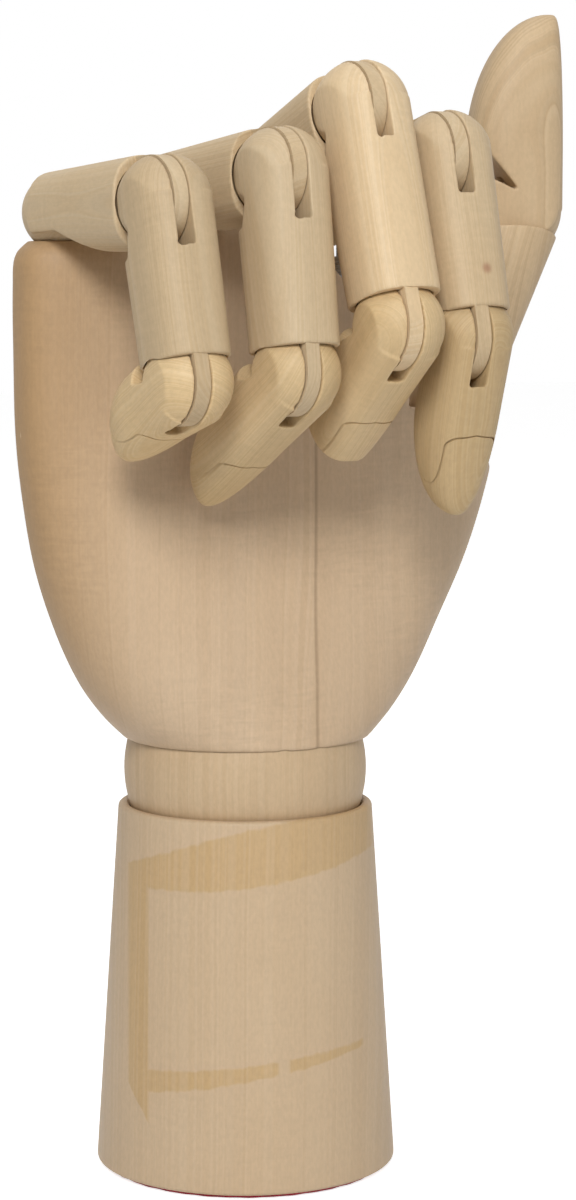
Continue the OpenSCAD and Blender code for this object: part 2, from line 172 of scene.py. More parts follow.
# Wood: how light the fingers' second and end pieces are against each other, partly their own
# colour and partly painted light and shade; the painted shade along the palm's little finger
# side and where it fades out; the palm's glue line; and the index finger's knot
SECOND_TONE_AND_LIGHT = (0.87, 0.9, 1.13, 0.91)
END_TONE_AND_LIGHT = (1.2, 1.06, 1.12, 0.94)
# Painted shade: the palm's side towards the little finger is made darker, as where its surface
# turns away from the light, fading out towards the middle
PALM_EDGE_SHADE = (168, 134, 92)
PALM_EDGE_SHADE_FADE = (-44, -16, 0.9, 0.0)
GLUE_LINE_AT = 14.0
GLUE_LINE = (138, 112, 84)
KNOT_AT = (21.2, -55.4, 179.1)
KNOT = (150, 92, 66)

# Logs that the pieces come from: how far the big pieces are from the tree's centre, and how
# far the finger pieces are, with the turn and height from one to the next
BIG_LOG_R = 150
LOG_R = 34
LOG_TURN = 1.9
FINGER_STEP = 70
PIECE_STEP = 23
THUMB_LOWER_PITH = (26, -22, 300)
THUMB_UPPER_PITH = (15, 3, 0)

# Camera: place, downward pitch, turn about the vertical, and lens for a 36 mm long side
CAMERA_AT = (-0.27915, -0.5250, 0.1761)
CAMERA_PITCH = 6.005
CAMERA_TURN = -28.827
CAMERA_LENS = 90.06
# Unit vector to the right in the photo's view, along which the growth lines are seen edge-on
VIEW_RIGHT = Vector((math.cos(math.radians(28)), -math.sin(math.radians(28)), 0))
VIEW_AWAY = Vector((math.sin(math.radians(28)), math.cos(math.radians(28)), 0))
# Lamps: name, place, size and power, all turned to the middle of the hand
LAMPS_AIM = (0, 0, 0.13)
LAMPS = (
    ("key_lamp", (-0.7, -1.1, 0.95), 0.55, 15.8),
    ("fill_lamp", (0.9, -1.0, 0.35), 0.9, 1.6),
    ("top_lamp", (-0.1, -0.1, 1.25), 0.6, 3.4),
)
WORLD_LEVEL = 0.17
FLOOR_COLOUR = (0.86, 0.86, 0.86, 1)
FLOOR_GLOW = 0.8


# Places

def point(joint):
    """Where a joint is, in millimetres"""
    return Vector(JOINTS[joint]["pos_m"]) / MM


def hinge_axis(joint):
    return Vector(JOINTS[joint]["axis"]).normalized()


def local_frame(origin, hinge, along):
    """Frame of a piece: its hinge along X, its length along Z, its nail's side along Y"""
    z = along.normalized()
    x = (hinge - hinge.dot(z) * z).normalized()
    y = z.cross(x)
    matrix = Matrix((x, y, z)).transposed().to_4x4()
    matrix.translation = origin
    return matrix


# Modelling

def deselect():
    bpy.ops.object.select_all(action="DESELECT")


def settle(piece):
    """Puts the object's place and size into its mesh"""
    deselect()
    piece.select_set(True)
    bpy.context.view_layer.objects.active = piece
    bpy.ops.object.transform_apply(location=True, rotation=True, scale=True)
    return piece


def ball(radius, centre=(0, 0, 0)):
    deselect()
    bpy.ops.mesh.primitive_uv_sphere_add(
        segments=ROUND, ring_count=ROUND // 2, radius=radius, location=centre
    )
    return settle(bpy.context.object)


def block(low, high):
    low, high = Vector(low), Vector(high)
    deselect()
    bpy.ops.mesh.primitive_cube_add(size=1, location=(low + high) / 2, scale=high - low)
    return settle(bpy.context.object)


def rod(radius, start, end):
    """Round rod between two points"""
    start, end = Vector(start), Vector(end)
    turn = (end - start).to_track_quat("Z", "Y").to_euler()
    deselect()
    bpy.ops.mesh.primitive_cylinder_add(
        vertices=48, radius=radius, depth=(end - start).length, location=(start + end) / 2,
        rotation=turn,
    )
    return settle(bpy.context.object)


def slab(outline, half, middle=0.0):
    """Flat piece across X from its side view, points of depth (Y) and height (Z)"""
    deselect()
    bpy.ops.mesh.primitive_circle_add(vertices=len(outline), radius=1, fill_type="NGON")
    piece = bpy.context.object
    for vertex, (depth, height) in zip(piece.data.vertices, outline):
        vertex.co = (middle - half, depth, height)
    bpy.ops.object.mode_set(mode="EDIT")
    bpy.ops.mesh.select_all(action="SELECT")
    bpy.ops.mesh.extrude_region_move(TRANSFORM_OT_translate={"value": (2 * half, 0, 0)})
    bpy.ops.mesh.select_all(action="SELECT")
    bpy.ops.mesh.normals_make_consistent(inside=False)
    bpy.ops.object.mode_set(mode="OBJECT")
    return piece


def blank(sections):
    """Blank pulled up section by section from a round disc. A section is its height, its half
    widths towards -X and +X, its depths towards -Y and +Y, and its squareness"""
    deselect()
    bpy.ops.mesh.primitive_circle_add(vertices=ROUND, radius=1, fill_type="NGON")
    piece = bpy.context.object
    bpy.ops.object.mode_set(mode="EDIT")
    bpy.ops.mesh.select_all(action="SELECT")
    for _ in sections[1:]:
        bpy.ops.mesh.extrude_region_move(TRANSFORM_OT_translate={"value": (0, 0, 1)})
    bpy.ops.object.mode_set(mode="OBJECT")
    for vertex in piece.data.vertices:
        height, left, right, low, high, squareness = sections[round(vertex.co.z)]
        angle = math.atan2(vertex.co.y, vertex.co.x)
        reach_x = abs(math.cos(angle)) ** (2 / squareness)
        reach_y = abs(math.sin(angle)) ** (2 / squareness)
        vertex.co = (
            reach_x * right if math.cos(angle) > 0 else -reach_x * left,
            (low + high) / 2 + math.copysign(reach_y, math.sin(angle)) * (high - low) / 2,
            height,
        )
    bpy.ops.object.mode_set(mode="EDIT")
    bpy.ops.mesh.select_all(action="SELECT")
    bpy.ops.mesh.normals_make_consistent(inside=False)
    bpy.ops.object.mode_set(mode="OBJECT")
    return piece


def apply(piece, kind, **settings):
    """Adds a modifier with these settings and applies it"""
    modifier = piece.modifiers.new(kind.lower(), kind)
    for name, value in settings.items():
        setattr(modifier, name, value)
    deselect()
    piece.select_set(True)
    bpy.context.view_layer.objects.active = piece
    bpy.ops.object.modifier_apply(modifier=modifier.name)


def shape(piece, tool, operation):
    apply(piece, "BOOLEAN", operation=operation, solver="EXACT", object=tool)
    bpy.data.objects.remove(tool, do_unlink=True)


def cut(piece, *tools):
    for tool in tools:
        shape(piece, tool, "DIFFERENCE")
    return piece


def glue(piece, *tools):
    for tool in tools:
        shape(piece, tool, "UNION")
    return piece


def keep(piece, tool):
    shape(piece, tool, "INTERSECT")
    return piece


def sand(piece, grit=FINE_GRIT, passes=4):
    """Rounds every edge a little, as sanding does"""
    apply(piece, "REMESH", mode="VOXEL", voxel_size=grit)
    apply(piece, "SMOOTH", factor=0.5, iterations=passes)
    return piece


def hang(piece, name, place, body, finish, pith, nodes):
    """Names a piece, lays its grain, puts it in its place and on its body. pith is where the
    piece sits in the log: the tree's centre is the origin of the grain"""
    mesh = piece.data
    piece.name = mesh.name = name
    grain = mesh.attributes.new("grain", "FLOAT_VECTOR", "POINT")
    for vertex, value in zip(mesh.vertices, grain.data):
        value.vector = vertex.co + Vector(pith)
    mesh.transform(Matrix.Scale(MM, 4) @ place)
    mesh.materials.clear()
    mesh.materials.append(finish)
    for polygon in mesh.polygons:
        polygon.material_index = 0
    deselect()
    piece.select_set(True)
    bpy.context.view_layer.objects.active = piece
    bpy.ops.object.shade_smooth_by_angle(angle=SHARP)
    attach(piece, body)
    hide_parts(*nodes)
    return piece


# Base and wrist

def turned(name, profile):
    """Solid turned on a lathe from the closed half outline profile, points of radius and height"""
    deselect()
    bpy.ops.mesh.primitive_circle_add(vertices=len(profile), radius=1, fill_type="NOTHING")
    piece = bpy.context.object
    piece.name = name
    for vertex, (radius, height) in zip(piece.data.vertices, profile):
        vertex.co = (radius, 0, height)
    bpy.ops.object.mode_set(mode="EDIT")
    bpy.ops.mesh.select_all(action="SELECT")
    bpy.ops.mesh.spin(
        steps=2 * ROUND, angle=math.tau, center=(0, 0, 0), axis=(0, 0, 1), use_auto_merge=True
    )
    bpy.ops.mesh.select_all(action="SELECT")
    bpy.ops.mesh.remove_doubles(threshold=0.001)
    bpy.ops.mesh.normals_make_consistent(inside=False)
    bpy.ops.object.mode_set(mode="OBJECT")
    return piece


def arc(centre, radius, start, end, steps):
    """Points of radius and height along an arc, its angles in degrees from the horizontal"""
    angles = [math.radians(start + (end - start) * k / steps) for k in range(steps + 1)]
    return [(centre[0] + radius * math.cos(a), centre[1] + radius * math.sin(a)) for a in angles]


def turned_base():
    """Tapered foot with a seat for the ball, a bore for the spring and a hole for its bar"""
    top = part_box("base")[1].z / MM
    ball_z = point("wrist_turn").z
    seat_r = BALL_R + SEAT_GAP
    bore_angle = -math.degrees(math.acos(BASE_BORE_R / seat_r))
    rim_angle = -math.degrees(math.asin((ball_z - top) / seat_r))
    edge = BASE_EDGE_R
    profile = [(BASE_HOLE_R, FELT_T)]
    profile += arc((BASE_FOOT_R - edge, FELT_T + edge), edge, -90, 0, 6)
    profile += arc((BASE_TOP_R - edge, top - edge), edge, 0, 90, 6)
    seat = arc((0, ball_z), seat_r, rim_angle, bore_angle, 24)
    profile += [(seat[0][0] + BASE_LIP, top), (seat[0][0] + 0.1, top - 0.1)]
    profile += seat[1:]
    profile += [(BASE_BORE_R, BASE_HOLE_H), (BASE_HOLE_R, BASE_HOLE_H)]
    return turned("turned_base", profile)


def turned_ball():
    """Wrist ball with a bore for the spring, its rims bevelled"""
    centre = point("wrist_turn").z
    rim_r = BALL_BORE_R + BALL_BEVEL
    bore_angle = math.degrees(math.acos(rim_r / BALL_R))
    lip = math.sqrt(BALL_R**2 - rim_r**2) - BALL_BEVEL_H
    profile = arc((0, centre), BALL_R, -bore_angle, bore_angle, 64)
    profile += [(BALL_BORE_R, centre + lip), (BALL_BORE_R, centre - lip)]
    return turned("turned_ball", profile)


def felt_disc():
    """Felt under the base, its edge a little uneven"""
    edge = FELT_T / 2
    profile = arc((FELT_R - edge, edge), edge, -90, 90, 6) + [(0.01, FELT_T), (0.01, 0)]
    piece = turned("felt_disc", profile)
    for vertex in piece.data.vertices:
        angle = math.atan2(vertex.co.y, vertex.co.x)
        reach = math.hypot(vertex.co.x, vertex.co.y)
        if reach > FELT_R - 1:
            fray = 1 - (0.004 + 0.003 * math.sin(41 * angle) + 0.003 * math.sin(23 * angle + 1))
            vertex.co.x *= fray
            vertex.co.y *= fray
    return piece


# Palm

def palm_levels(height):
    """Height above the lower rim, half width towards -X and +X, thickness and squareness"""
    left, right = PALM_LEFT, PALM_RIGHT
    return (
        (0, 24, 24.7, PALM_FOOT_T, 2.0),
        (5, 29.4, 30.8, 45.4, 2.1),
        (12, 34.8, 36.6, 42.2, 2.2),
        (22, 39.9, 42.6, 37.6, 2.3),
        (35, left - 4.2, right - 8, 32.4, 2.5),
        (49, left - 1.6, right - 2.8, 28.4, 2.7),
        (CREST_START, left - 0.3, right, 26, 2.8),
        (76, left, right, 24.4, 2.9),
        (height - 9, left, right, PALM_TOP_T + 1, 3.0),
        (height - 3, left - 0.6, right, PALM_TOP_T - 0.6, 3.0),
        (height, left - 4, right - 2, PALM_TOP_T - 4.4, 3.0),
    )


def between(levels, height):
    """Level at a height, on a smooth curve through the given ones"""
    last = len(levels) - 1
    k = max(i for i in range(last) if levels[i][0] <= height or i == 0)
    a, b = levels[k], levels[k + 1]
    before, after = levels[max(k - 1, 0)], levels[min(k + 2, last)]
    span = b[0] - a[0]
    t = (height - a[0]) / span
    made = [height]
    for j in range(1, len(a)):
        slope_a = (b[j] - before[j]) / (b[0] - before[0]) * span
        slope_b = (after[j] - a[j]) / (after[0] - a[0]) * span
        made.append(
            (2 * t**3 - 3 * t**2 + 1) * a[j] + (t**3 - 2 * t**2 + t) * slope_a
            + (3 * t**2 - 2 * t**3) * b[j] + (t**3 - t**2) * slope_b
        )
    return made


def crest(x, knuckles):
    """Rise of the palm's top edge, which is level under each finger"""
    low = min(k.z for k in knuckles)
    edges = [(k.x + side * CREST_LEVEL, k.z - low) for k in knuckles for side in (-1, 1)]
    if x <= edges[0][0]:
        return edges[0][1]
    for a, b in zip(edges, edges[1:]):
        if x <= b[0]:
            return a[1] + (b[1] - a[1]) * (x - a[0]) / (b[0] - a[0])
    return edges[-1][1]


def carved_palm():
    """Palm built up by its levels, with seats for the fingers, the thumb and the wrist ball"""
    knuckles = [point(finger + "_knuckle") for finger in FINGERS]
    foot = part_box("palm")[0].z / MM
    top = min(k.z for k in knuckles) - KNUCKLE_RISE
    height = top - foot
    levels = palm_levels(height)
    sections = []
    for k in range(PALM_STEPS + 1):
        z, left, right, thick, squareness = between(levels, height * k / PALM_STEPS)
        sections.append((foot + z, left, right, -thick / 2, thick / 2, squareness))
    piece = blank(sections)
    apply(piece, "REMESH", mode="VOXEL", voxel_size=PALM_BLANK_GRIT)
    for vertex in piece.data.vertices:
        share = max(0, vertex.co.z - foot - CREST_START) / (height - CREST_START)
        vertex.co.z += share * crest(vertex.co.x, knuckles)
    pin_z = foot + WRIST_PIN_RISE
    cut(piece, rod(WRIST_PIN_R, (0, -WRIST_PIN_FRONT, pin_z), (0, PALM_RIGHT, pin_z)))
    anchor_z = top - ANCHOR_DROP
    for finger, knuckle, width in zip(FINGERS, knuckles, WIDTH):
        cut(
            piece,
            ball(width / 2 - KNUCKLE_TRIM + KNUCKLE_GAP, knuckle),
            rod(SPRING_BORE_R, (knuckle.x, 0, anchor_z - BORE_PAST_ROD), knuckle),
        )
    root = point("thumb_swing")
    tilt = Matrix.Translation(root) @ Matrix.Rotation(math.radians(THUMB_SEAT_TILT), 4, "Y")
    shoulder = block(
        (-CUT_REACH, -CUT_DEPTH, -THUMB_SEAT_DROP), (CUT_REACH, CUT_DEPTH, THUMB_SHOULDER_H)
    )
    shoulder.data.transform(tilt)
    web_x = knuckles[-1].x + WIDTH[-1] / 2 + THUMB_WEB
    bore_end = tilt @ Vector((0, 0, -THUMB_ANCHOR_DROP - BORE_PAST_PIN))
    cut(
        piece, shoulder,
        block((web_x, -CUT_DEPTH, root.z), (web_x + CUT_REACH, CUT_DEPTH, root.z + CUT_REACH)),
        ball(THUMB_ROOT_R + KNUCKLE_GAP, root),
        rod(SPRING_BORE_R, bore_end, root),
    )
    sand(piece, PALM_GRIT, 3)
    # The seat on the wrist ball is turned last and keeps a sharp rim
    return cut(
        piece,
        ball(BALL_R + SEAT_GAP, point("wrist_turn")),
        rod(BALL_BORE_R, (0, 0, foot - OVER), (0, 0, pin_z + BORE_PAST_PIN)),
    )


# Fingers

def stock(w0, d0, w1, d1, z0, z1):
    """Blank with rounded long edges between two end sizes, each as half width and half depth"""
    return blank([(z, w, w, -d, d, SQUARENESS) for z, w, d in ((z0, w0, d0), (z1, w1, d1))])


def tongue(end, reach, radius, neck, middle=0.0):
    """Tongue with a round end about the height end, reaching down by reach. Its neck is
    narrower on the pad's side, where the bent joint passes"""
    last = 180 + math.floor(math.degrees(math.acos(neck / radius)))
    outline = [
        (radius * math.cos(math.radians(a)), end + radius * math.sin(math.radians(a)))
        for a in range(0, last, 4)
    ]
    outline += [(-neck, end - reach), (radius, end - reach)]
    return slab(outline, TONGUE_T / 2, middle)


def finger_tongue(end, half):
    radius = half - TONGUE_INSET
    return tongue(end, half + 3, radius, radius - TONGUE_NECK, SLOT_X)


def relief(half, bend, gap, width):
    """What is cut away on the pad's side of a round end, so that the joint can bend"""
    turn = math.radians(bend)
    lip = gap - 0.4
    reach = half + 0.4
    far = 4 * half
    corner = (
        -(lip * math.sin(turn) + reach * math.cos(turn)),
        -lip * math.cos(turn) + reach * math.sin(turn),
    )
    beyond = (corner[0] - far * math.sin(turn), corner[1] - far * math.cos(turn))
    return slab([(0, 0), corner, beyond, (-far, -far), (0, -far)], width)


def round_end(width, half, length, bend, gap):
    """Ball at the hinge and the phalanx beyond it, less its cut-back on the pad's side"""
    body = slab([(-2 * half, 0), (2 * half, 0), (2 * half, length), (-2 * half, length)], width)
    cut(body, relief(half, bend, gap, 2 * width))
    return glue(body, ball(half))


def saw_slot(depth, middle=SLOT_X):
    """What a round saw cuts across a round end"""
    low = depth - SAW_R
    return rod(SAW_R, (middle - SLOT_T / 2, 0, low), (middle + SLOT_T / 2, 0, low))


def pin_hole(width):
    """Hole for a joint pin, open on the thumb's side"""
    return rod(PIN_HOLE_R, (-width / 2 + PIN_SKIN, 0, 0), (width, 0, 0))


def fit_joint(piece, half, length):
    """Hollows the far end of a sanded phalanx round the next joint and puts in its tongue"""
    cut(piece, ball(half + CUP_GAP, (0, 0, length)))
    tab = finger_tongue(length, half)
    cut(tab, rod(PIN_HOLE_R, (-2 * TONGUE_T, 0, length), (2 * TONGUE_T, 0, length)))
    return glue(piece, tab)


def first_phalanx(i, length):
    width, half = WIDTH[i], DEPTH[i] / 2
    knuckle_r = width / 2 - KNUCKLE_TRIM
    piece = stock(knuckle_r, knuckle_r, width / 2, half, 0, length - END_GAP_SECOND)
    # Cut back on the pad's side, where the bent finger passes the palm's edge
    keep(piece, slab([
        (-half - 1, length + 1), (-half - 1, KNUCKLE_SLANT_END),
        (-KNUCKLE_FLAT, KNUCKLE_FLAT_END), (-KNUCKLE_FLAT, 0), (half + 2, 0),
        (half + 2, length + 1),
    ], 2 * width))
    glue(piece, ball(knuckle_r))
    slot_top = KNUCKLE_SLOT_TOP
    cut(
        piece,
        slab([
            (slot_top, -knuckle_r - 1), (slot_top, slot_top), (-knuckle_r - 2, slot_top),
            (-knuckle_r - 2, -knuckle_r - 1),
        ], KNUCKLE_SLOT_T / 2),
        pin_hole(width),
    )
    sand(piece)
    return fit_joint(piece, half, length)


def second_phalanx(i, length):
    width, half = WIDTH[i], DEPTH[i] / 2
    end_half = half - TAPER / 2
    end = length - END_GAP_THIRD[i]
    piece = stock(width / 2, half, width / 2 - TAPER / 2, end_half, -half, end)
    keep(piece, round_end(width, half, length + 1, RELIEF_SECOND, END_GAP_SECOND))
    cut(piece, saw_slot(SECOND_SLOT[i]), pin_hole(width))
    sand(piece)
    return fit_joint(piece, end_half, length)


def tip_blank(width, pad, nail, start, length, apex, slim, low, inset=0.0):
    """Blank rounded like a fingertip: slimmer past the joint, nearly straight on the nail's
    side, curving up on the pad's side, and coming together apex towards the nail"""
    half = width / 2 - inset
    sections = [(z, half, half, -pad + inset, nail - inset, SQUARENESS) for z in (low, 0)]
    for t in range(0, 90, 4):
        turn = math.radians(t)
        side = slim * width / 2 * math.cos(turn) ** 0.85 - inset
        pad_y = apex - (slim * pad + apex) * math.cos(turn) + inset
        nail_y = apex + (slim * nail - apex) * math.cos(turn) ** 0.35 - inset
        if side > 0.2 and nail_y - pad_y > 0.4:
            height = start + (length - start) * math.sin(turn)
            sections.append((height, side, side, pad_y, nail_y, SQUARENESS - 0.5 * t / 90))
    return blank(sections)


def nail_line(top, length, inset_blank):
    """The thin line engraved round the nail: nearly straight across at height top, round at
    its two corners, and nearly straight down its sides to the tip"""
    corner = NAIL_CORNER

    def arch(grow):
        """Outline of the nail, wider by grow, as points across and along the finger"""
        half = NAIL_HALF + grow
        turn = [math.radians(a) for a in range(0, 91, 6)]
        side = [
            (half - corner + corner * math.cos(a), top - grow + corner - corner * math.sin(a))
            for a in turn
        ]
        side.append((0, top - NAIL_BOW - grow))
        end = length + 3 + 2 * grow
        right = [(half - NAIL_TAPER * (end - top), end)] + side
        return right + [(-x, z) for x, z in reversed(right[:-1])]

    band = slab(arch(NAIL_LINE / 2), 20)
    inner = slab([(x, z + (4 if z > length else 0)) for x, z in arch(-NAIL_LINE / 2)], 21)
    cut(band, inner)
    band.data.transform(Matrix.Rotation(math.radians(-90), 4, "Z"))
    keep(band, block((-20, NAIL_FLOOR, -50), (20, 30, length + 2)))
    return cut(band, inset_blank)


def end_phalanx(i):
    width, half = WIDTH[i] - TAPER, (DEPTH[i] - TAPER) / 2
    whole = WHOLE_END[i]
    form = (width, half, half, TIP_START * whole, whole, TIP_APEX, SLIM[i], -half - OVER)
    piece = tip_blank(*form)
    keep(piece, round_end(width, half, END_LENGTH[i], RELIEF_THIRD, END_GAP_THIRD[i]))
    cut(piece, saw_slot(THIRD_SLOT[i]), pin_hole(width))
    sand(piece)
    return cut(piece, nail_line(NAIL_TOP[i], whole, tip_blank(*form, inset=NAIL_CUT)))


# Thumb

def thumb_lower(length, joint_frame, own_frame):
    """Lower piece of the thumb, in its own frame; joint_frame is the upper piece's"""
    to_own = own_frame.inverted()
    piece = ball(THUMB_ROOT_R)
    cone = blank([(0, THUMB_NECK_R, THUMB_NECK_R, -THUMB_NECK_R, THUMB_NECK_R, 2.0),
                  (length, THUMB_FLARE_R, THUMB_FLARE_R, -THUMB_FLARE_R, THUMB_FLARE_R, 2.0)])
    glue(piece, cone)
    apply(piece, "REMESH", mode="VOXEL", voxel_size=FINE_GRIT)
    rim = block((-30, -30, -THUMB_RIM_DROP), (30, 30, 40))
    joint_at = joint_frame.translation
    slant = Matrix.Rotation(math.radians(THUMB_RIM_SIDE), 4, "Y")
    slant = slant @ Matrix.Rotation(math.radians(-THUMB_RIM_BACK), 4, "X")
    rim.data.transform(to_own @ Matrix.Translation(joint_at) @ slant)
    slot_half = KNUCKLE_SLOT_T / 2
    slot = block((-6, -slot_half, -THUMB_ROOT_R - 1), (6, slot_half, KNUCKLE_SLOT_TOP))
    root_hole = rod(PIN_HOLE_R, (0, THUMB_ROOT_R + 1, 0), (0, 1 - THUMB_ROOT_R, 0))
    cut(piece, rim, slot, root_hole)
    sand(piece)
    cut(piece, ball(THUMB_JOINT_R + KNUCKLE_GAP, (0, 0, length)))
    tab = tongue(0, THUMB_JOINT_R + 3, THUMB_TONGUE_R, THUMB_TONGUE_NECK)
    cut(tab, rod(PIN_HOLE_R, (-2 * TONGUE_T, 0, 0), (2 * TONGUE_T, 0, 0)))
    tab.data.transform(to_own @ joint_frame)
    return glue(piece, tab)


def thumb_upper():
    piece = tip_blank(
        THUMB_W, THUMB_D - THUMB_NAIL, THUMB_NAIL, THUMB_PAD_START, THUMB_END,
        THUMB_NAIL - THUMB_NAIL_TO_TOP, 1, -THUMB_JOINT_R - OVER,
    )
    body = block((-THUMB_W, -THUMB_D, 0), (THUMB_W, THUMB_D, THUMB_END + OVER))
    keep(piece, glue(body, ball(THUMB_JOINT_R)))
    # Its pin goes in from the hidden side
    hole = rod(PIN_HOLE_R, (-THUMB_W, 0, 0), (THUMB_W / 2 - PIN_SKIN, 0, 0))
    cut(piece, slab(THUMB_NOTCH, 2 * THUMB_W), saw_slot(THUMB_SLOT_DEPTH, 0), hole)
    return sand(piece)


# Finishes

def tint(red, green, blue):
    """Colour from 0 to 255 values as seen, in the linear values that shaders take"""
    def linear(value):
        value /= 255
        return value / 12.92 if value <= 0.04045 else ((value + 0.055) / 1.055) ** 2.4
    return (linear(red), linear(green), linear(blue), 1.0)


class Wiring:
    """Adds nodes to a tree and joins them, each value a number, a colour or another's output"""

    def __init__(self, tree):
        self.tree = tree

    def add(self, kind, values=None, **settings):
        node = self.tree.nodes.new("ShaderNode" + kind)
        for name, value in settings.items():
            setattr(node, name, value)
        for key, value in (values or {}).items():
            if isinstance(value, bpy.types.NodeSocket):
                self.tree.links.new(value, node.inputs[key])
            else:
                node.inputs[key].default_value = value
        return node

    def math(self, operation, a, b=0.0, c=0.0):
        return self.add("Math", {0: a, 1: b, 2: c}, operation=operation).outputs[0]

    def scaled(self, vector, factors):
        return self.add("VectorMath", {0: vector, 1: factors}, operation="MULTIPLY").outputs[0]

    def noise(self, vector, scale=1.0, detail=2.0, roughness=0.5, distortion=0.0):
        values = {
            "Vector": vector, "Scale": scale, "Detail": detail, "Roughness": roughness,
            "Distortion": distortion,
        }
        return self.add("TexNoise", values).outputs["Fac"]

    def step(self, value, low, high, to_low=0.0, to_high=1.0):
        """Smooth step of a value from low to high"""
        values = {"Value": value, 1: low, 2: high, 3: to_low, 4: to_high}
        return self.add("MapRange", values, interpolation_type="SMOOTHSTEP").outputs[0]

    def mix(self, share, a, b, blend="MIX"):
        node = self.add("Mix", data_type="RGBA", blend_type=blend)
        for socket, value in ((node.inputs[0], share), (node.inputs[6], a), (node.inputs[7], b)):
            if isinstance(value, bpy.types.NodeSocket):
                self.tree.links.new(value, socket)
            else:
                socket.default_value = value
        return node.outputs[2]


def new_group(name, inputs, outputs):
    """Shader node group with its sockets; returns it, its wiring, its input and its output"""
    tree = bpy.data.node_groups.new(name, "ShaderNodeTree")
    for label, kind, value in inputs:
        socket = tree.interface.new_socket(label, in_out="INPUT", socket_type=kind)
        if value is not None:
            socket.default_value = value
    for label, kind in outputs:
        tree.interface.new_socket(label, in_out="OUTPUT", socket_type=kind)
    wiring = Wiring(tree)
    start = tree.nodes.new("NodeGroupInput")
    end = tree.nodes.new("NodeGroupOutput")
    return tree, wiring, start.outputs, end.inputs


def growth_group():
    """Growth rings about the log's centre, fibres along Z, flecks, ripple across, and clouds"""
    tree, w, given, made = new_group(
        "growth",
        [("Grain", "NodeSocketVector", None), ("Ring gap", "NodeSocketFloat", 5.0),
         ("Wobble", "NodeSocketFloat", 2.0)],
        [("Bands", "NodeSocketFloat"), ("Lines", "NodeSocketFloat"), ("Fibre", "NodeSocketFloat"),
         ("Fleck", "NodeSocketFloat"), ("Ripple", "NodeSocketFloat"),
         ("Cloud", "NodeSocketFloat")],
    )
    grain = given["Grain"]
    flat = w.scaled(grain, (1, 1, 0))
    reach = w.add("VectorMath", {0: flat}, operation="LENGTH").outputs["Value"]
    drift = w.noise(w.scaled(grain, (0.05, 0.05, 0.013)), detail=1.5)
    drift = w.math("MULTIPLY", w.math("SUBTRACT", drift, 0.5), given["Wobble"])
    reach = w.math("ADD", reach, w.math("MULTIPLY", drift, 2.0))
    rings = w.math("DIVIDE", reach, given["Ring gap"])
    uneven = w.add("TexNoise", {"W": w.math("MULTIPLY", rings, 0.45), "Detail": 0.0},
                   noise_dimensions="1D").outputs["Fac"]
    rings = w.math("ADD", rings, w.math("MULTIPLY", uneven, 1.7))
    phase = w.math("FRACT", rings)
    rise = w.step(phase, 0.35, 0.93)
    fall = w.step(phase, 0.95, 1.0, 1.0, 0.0)
    tree.links.new(w.math("MULTIPLY", rise, fall), made["Lines"])
    bands = w.add("TexNoise", {"W": w.math("MULTIPLY", rings, 1.1), "Detail": 1.0},
                  noise_dimensions="1D").outputs["Fac"]
    tree.links.new(w.step(bands, 0.3, 0.7), made["Bands"])
    fibre = w.noise(w.scaled(grain, (2.4, 2.4, 0.07)), detail=3.0, roughness=0.6)
    tree.links.new(w.step(fibre, 0.25, 0.75), made["Fibre"])
    fleck = w.noise(w.scaled(grain, (1.5, 1.5, 0.75)), detail=3.0, roughness=0.6)
    tree.links.new(w.step(fleck, 0.32, 0.68), made["Fleck"])
    ripple = w.noise(w.scaled(grain, (0.16, 0.16, 0.95)), detail=2.0, distortion=0.6)
    patch = w.step(w.noise(w.scaled(grain, (0.045, 0.045, 0.03))), 0.42, 0.62)
    ripple = w.math("MULTIPLY", w.math("SUBTRACT", ripple, 0.5), patch)
    tree.links.new(w.math("ADD", ripple, 0.5), made["Ripple"])
    cloud = w.noise(w.scaled(grain, (0.035, 0.035, 0.018)), detail=2.0)
    tree.links.new(w.step(cloud, 0.36, 0.66), made["Cloud"])
    return tree


